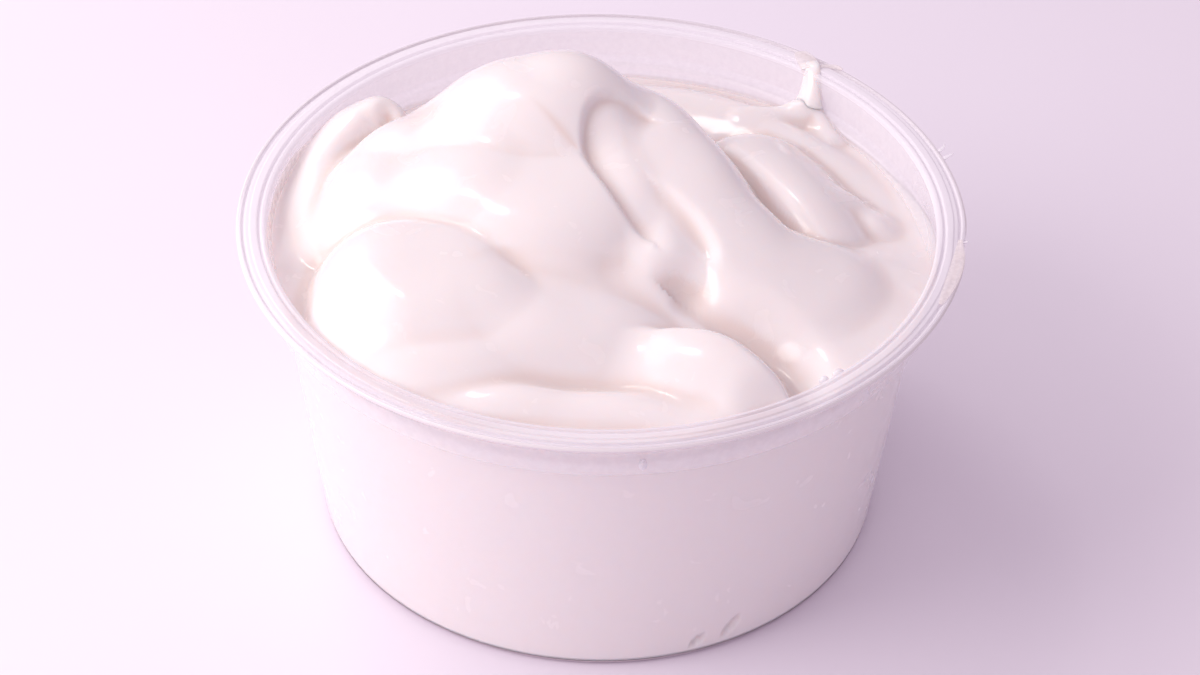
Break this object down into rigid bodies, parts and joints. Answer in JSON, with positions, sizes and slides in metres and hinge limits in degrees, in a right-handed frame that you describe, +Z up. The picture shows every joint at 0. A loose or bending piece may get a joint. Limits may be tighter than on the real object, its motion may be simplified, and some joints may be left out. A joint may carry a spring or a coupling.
{
  "type": "filled dip cup",
  "caption": "Round clear plastic dip cup with a flanged rim, a hanging skirt and a lid ledge, heaped with thick white dip in folds.",
  "frame": {"origin": "middle of the cup's foot, on the surface that it stands on", "axes": "+Z up along the cup's axis, +X to the right and +Y to the back as the cup is seen from the front"},
  "size_m": [0.1, 0.1, 0.0609],
  "materials": {
    "clear_plastic": "clear moulded plastic, faintly hazy",
    "white_dip": "thick white dip with a soft wet sheen"
  },
  "bodies": {
    "root": {"cup": "clear_plastic", "dip": "white_dip"}
  },
  "joints": []
}
